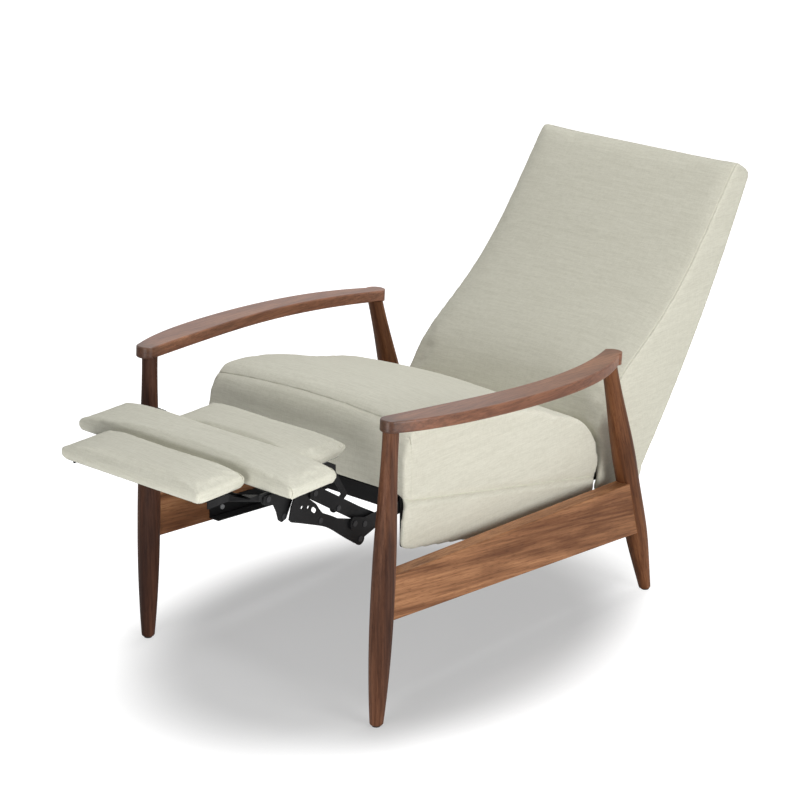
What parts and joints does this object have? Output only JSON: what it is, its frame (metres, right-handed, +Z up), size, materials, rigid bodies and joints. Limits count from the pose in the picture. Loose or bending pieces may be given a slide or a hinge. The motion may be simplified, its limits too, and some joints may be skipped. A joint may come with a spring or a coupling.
{
  "type": "armchair",
  "caption": "Mid-century push-back reclining armchair with bowed walnut arms, oatmeal linen seat and back, and a fold-out leg rest on flat steel links.",
  "frame": {"origin": "on the floor, in the middle of the opened chair", "axes": "+Z up; the chair faces -Y; +X is the sitter's left side"},
  "size_m": [0.7806, 1.5524, 0.8238],
  "materials": {
    "walnut_arm": "satin oiled walnut, darker end grain at the noses",
    "walnut_leg": "satin oiled walnut, dark reddish brown",
    "walnut_rail": "satin oiled walnut, lighter board",
    "beech": "raw beech, hidden",
    "plywood": "raw plywood, hidden",
    "glide_plastic": "matte",
    "black_steel": "semi-gloss black",
    "zinc_screw": "zinc plated",
    "rivet_steel": "black, slightly worn",
    "linen": "oatmeal slub linen",
    "webbing": "woven elastic webbing",
    "dust_cloth": "thin black cloth"
  },
  "bodies": {
    "frame": {"arm_left": "walnut_arm", "arm_right": "walnut_arm", "front_leg_left": "walnut_leg", "front_leg_right": "walnut_leg", "rear_leg_left": "walnut_leg", "rear_leg_right": "walnut_leg", "side_rail_left": "walnut_rail", "side_rail_right": "walnut_rail", "rear_rail": "walnut_rail", "arm_dowels": "beech", "rail_dowels": "beech", "foot_glides": "glide_plastic", "base_rail_left": "black_steel", "base_rail_right": "black_steel", "base_screws": "zinc_screw", "front_cross_tube": "black_steel", "rear_cross_tube": "black_steel", "rocker_stands": "black_steel", "stand_rivets": "rivet_steel"},
    "front_rocker": {"front_rockers": "black_steel"},
    "rear_rocker": {"rear_rockers": "black_steel"},
    "seat": {"seat_cushion": "linen", "seat_side_left": "linen", "seat_side_right": "linen", "seat_frame": "beech", "seat_webbing": "webbing", "dust_cover": "dust_cloth", "plate_screws": "zinc_screw", "seat_plate_left": "black_steel", "seat_plate_right": "black_steel", "seat_cross_rail": "black_steel", "seat_rivets": "rivet_steel"},
    "back": {"back_cushion": "linen", "back_side_left": "linen", "back_side_right": "linen", "outside_back": "linen", "back_frame": "beech", "back_webbing": "webbing", "back_bracket_left": "black_steel", "back_bracket_right": "black_steel"},
    "swing_link": {"swing_links": "black_steel"},
    "carrier_link": {"carrier_links": "black_steel", "carrier_rivets": "rivet_steel"},
    "curved_link": {"curved_links": "black_steel", "curved_link_rivets": "rivet_steel"},
    "lift_link": {"lift_links": "black_steel", "lift_link_rivets": "rivet_steel"},
    "ottoman": {"ottoman_bracket_left": "black_steel", "ottoman_bracket_right": "black_steel", "bracket_rivets": "rivet_steel", "middle_pad": "linen", "middle_pad_board": "plywood"},
    "inner_rest": {"inner_arm_left": "black_steel", "inner_arm_right": "black_steel", "inner_pad": "linen", "inner_pad_board": "plywood"},
    "outer_rest": {"outer_arm_left": "black_steel", "outer_arm_right": "black_steel", "outer_pad": "linen", "outer_pad_board": "plywood"}
  },
  "joints": [
    {"name": "recline", "type": "hinge", "parent": "frame", "child": "front_rocker", "pos_m": [0, 0.0688, 0.222], "axis": [1, 0, 0], "range_deg": [-52.4, 0]},
    {"name": "seat_hinge", "type": "hinge", "parent": "front_rocker", "child": "seat", "pos_m": [0, 0.0268, 0.268], "axis": [1, 0, 0], "range_deg": [0, 58.45]},
    {"name": "rear_rocker_pivot", "type": "hinge", "parent": "frame", "child": "rear_rocker", "pos_m": [0, 0.24967, 0.2012], "axis": [1, 0, 0], "range_deg": [-61, 0]},
    {"name": "back_hinge", "type": "hinge", "parent": "seat", "child": "back", "pos_m": [0, 0.1438, 0.3], "axis": [1, 0, 0], "range_deg": [0, 19.05]},
    {"name": "leg_rest", "type": "hinge", "parent": "seat", "child": "carrier_link", "pos_m": [0, -0.2794, 0.3756], "axis": [1, 0, 0], "range_deg": [0, 149.41]},
    {"name": "cross_pivot", "type": "hinge", "parent": "carrier_link", "child": "curved_link", "pos_m": [0, -0.43747, 0.38107], "axis": [1, 0, 0], "range_deg": [-129.73, 0]},
    {"name": "bracket_pivot", "type": "hinge", "parent": "curved_link", "child": "ottoman", "pos_m": [0, -0.5806, 0.4837], "axis": [1, 0, 0], "range_deg": [0, 70.32]},
    {"name": "swing_pivot", "type": "hinge", "parent": "seat", "child": "swing_link", "pos_m": [0, -0.2435, 0.3922], "axis": [1, 0, 0], "range_deg": [0, 118.99]},
    {"name": "lift_pivot", "type": "hinge", "parent": "carrier_link", "child": "lift_link", "pos_m": [0, -0.41096, 0.3725], "axis": [1, 0, 0], "range_deg": [-140.92, 0]},
    {"name": "inner_rest_pivot", "type": "hinge", "parent": "lift_link", "child": "inner_rest", "pos_m": [0, -0.47198, 0.41975], "axis": [1, 0, 0], "range_deg": [-118.59, 0]},
    {"name": "outer_rest_pivot", "type": "hinge", "parent": "ottoman", "child": "outer_rest", "pos_m": [0, -0.6502, 0.49], "axis": [1, 0, 0], "range_deg": [0, 180.05]}
  ],
  "couplings": [
    {"joint": "seat_hinge", "follows": "recline", "ratio": -1.1145},
    {"joint": "back_hinge", "follows": "recline", "ratio": -0.3626},
    {"joint": "rear_rocker_pivot", "follows": "recline", "ratio": 1.1632},
    {"joint": "cross_pivot", "follows": "leg_rest", "ratio": -0.86796},
    {"joint": "bracket_pivot", "follows": "leg_rest", "ratio": 0.47034},
    {"joint": "swing_pivot", "follows": "leg_rest", "ratio": 0.79606},
    {"joint": "lift_pivot", "follows": "leg_rest", "ratio": -0.94286},
    {"joint": "inner_rest_pivot", "follows": "leg_rest", "ratio": -0.79339},
    {"joint": "outer_rest_pivot", "follows": "leg_rest", "ratio": 1.2048}
  ]
}
